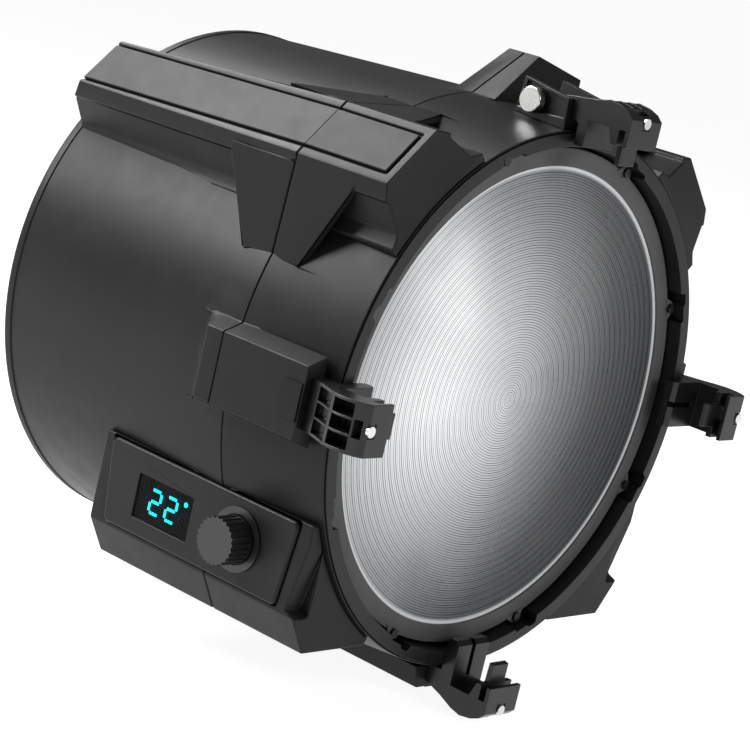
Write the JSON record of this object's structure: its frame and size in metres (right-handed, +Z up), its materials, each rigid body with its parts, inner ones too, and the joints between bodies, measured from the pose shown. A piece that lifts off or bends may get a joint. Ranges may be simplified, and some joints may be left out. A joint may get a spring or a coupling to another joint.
{
  "type": "fresnel spotlight lens head",
  "caption": "Drum-shaped fresnel head for a studio lamp: stepped front lens, motor-driven zoom lens, rotary control with display, and bayonet lamp coupling.",
  "frame": {"origin": "centre of the lamp coupling's rear seating face, on the optical axis", "axes": "+Z up as the head stands in use, +Y along the optical axis towards the lamp (light leaves towards -Y), +X to the right seen from the front"},
  "size_m": [0.458, 0.398, 0.4697],
  "materials": {
    "shell": "satin, fine texture",
    "insert": "satin",
    "ring": "satin",
    "bracket": "satin",
    "bezel": "satin",
    "black_screw": "blackened",
    "lens": "stepped, lightly frosted",
    "zoom_glass": "polished",
    "gasket": "matt",
    "frame_alloy": "black anodised",
    "coupling": "hard anodised",
    "bright_steel": "turned",
    "bearing_brass": "turned",
    "panel": "satin",
    "window": "polished",
    "digits": "lit",
    "dark_part": "moulded",
    "board": "lacquered",
    "knob": "soft touch",
    "motor": "satin"
  },
  "bodies": {
    "head": {"front_shell": "shell", "rear_shell": "shell", "control_box_front": "shell", "control_box_rear": "shell", "driver_box_front": "shell", "driver_box_rear": "shell", "rear_cover": "shell", "left_rail_front": "shell", "left_rail_rear": "shell", "right_rail_front": "shell", "right_rail_rear": "shell", "left_rail_insert_front": "insert", "left_rail_insert_rear": "insert", "right_rail_insert_front": "insert", "right_rail_insert_rear": "insert", "fixing_covers": "insert", "front_ring": "ring", "left_bracket": "bracket", "right_bracket": "bracket", "bottom_bracket": "bracket", "latch_base": "bracket", "lens_bezel": "bezel", "bezel_screws": "black_screw", "cover_screws": "black_screw", "coupling_screws": "black_screw", "fresnel_lens": "lens", "lens_gasket": "gasket", "frame_ring": "frame_alloy", "optics_plate": "frame_alloy", "coupling_ring": "coupling", "latch_pin": "bright_steel", "latch_spring": "bright_steel", "guide_rods": "bright_steel", "screw_bearing": "bearing_brass", "contact_pins": "bearing_brass", "control_panel": "panel", "driver_panel": "panel", "display_window": "window", "display_digits": "digits", "display_module": "dark_part", "encoder_body": "dark_part", "contact_block": "dark_part", "home_switch": "dark_part", "control_board": "board", "knob_collar": "knob", "zoom_motor": "motor"},
    "carriage": {"carriage": "frame_alloy", "slide_bushes": "bearing_brass", "drive_nut": "bearing_brass", "lens_cell": "frame_alloy", "zoom_lens": "zoom_glass"},
    "lead_screw": {"lead_screw": "bright_steel"},
    "latch_arm": {"latch_arm": "bracket"},
    "top_plunger": {"top_plunger": "bright_steel"},
    "left_plunger": {"left_plunger": "bright_steel"},
    "right_plunger": {"right_plunger": "bright_steel"},
    "bottom_plunger": {"bottom_plunger": "bright_steel"},
    "knob_press": {"encoder_plunger": "bright_steel"},
    "knob": {"encoder_shaft": "bright_steel", "knob": "knob"}
  },
  "joints": [
    {"name": "zoom_travel", "type": "slide", "parent": "head", "child": "carriage", "axis": [0, 1, 0], "range_m": [-0.11, 0.022]},
    {"name": "lead_screw_spin", "type": "hinge", "parent": "head", "child": "lead_screw", "pos_m": [0, -0.2, -0.165], "axis": [0, 1, 0], "range_deg": [-3960, 792]},
    {"name": "latch_open", "type": "hinge", "parent": "head", "child": "latch_arm", "pos_m": [0, -0.317, 0.2148], "axis": [-1, 0, 0], "range_deg": [0, 55], "stiffness_Nm_per_rad": 0.3, "springref_deg": -34.38},
    {"name": "top_plunger_pull", "type": "slide", "parent": "latch_arm", "child": "top_plunger", "axis": [0, -1, 0], "range_m": [0, 0.0015], "stiffness_N_per_m": 400, "springref_m": -0.002},
    {"name": "left_plunger_pull", "type": "slide", "parent": "head", "child": "left_plunger", "axis": [0, -1, 0], "range_m": [0, 0.0015], "stiffness_N_per_m": 400, "springref_m": -0.002},
    {"name": "right_plunger_pull", "type": "slide", "parent": "head", "child": "right_plunger", "axis": [0, -1, 0], "range_m": [0, 0.0015], "stiffness_N_per_m": 400, "springref_m": -0.002},
    {"name": "bottom_plunger_pull", "type": "slide", "parent": "head", "child": "bottom_plunger", "axis": [0, -1, 0], "range_m": [0, 0.0015], "stiffness_N_per_m": 400, "springref_m": -0.002},
    {"name": "knob_press", "type": "slide", "parent": "head", "child": "knob_press", "axis": [1, 0, 0], "range_m": [0, 0.001], "stiffness_N_per_m": 900, "springref_m": -0.003},
    {"name": "knob_turn", "type": "hinge", "parent": "knob_press", "child": "knob", "pos_m": [-0.2, -0.2817, -0.116], "axis": [1, 0, 0], "continuous": true}
  ],
  "couplings": [
    {"joint": "lead_screw_spin", "follows": "zoom_travel", "rad_per_m": 628.32}
  ]
}
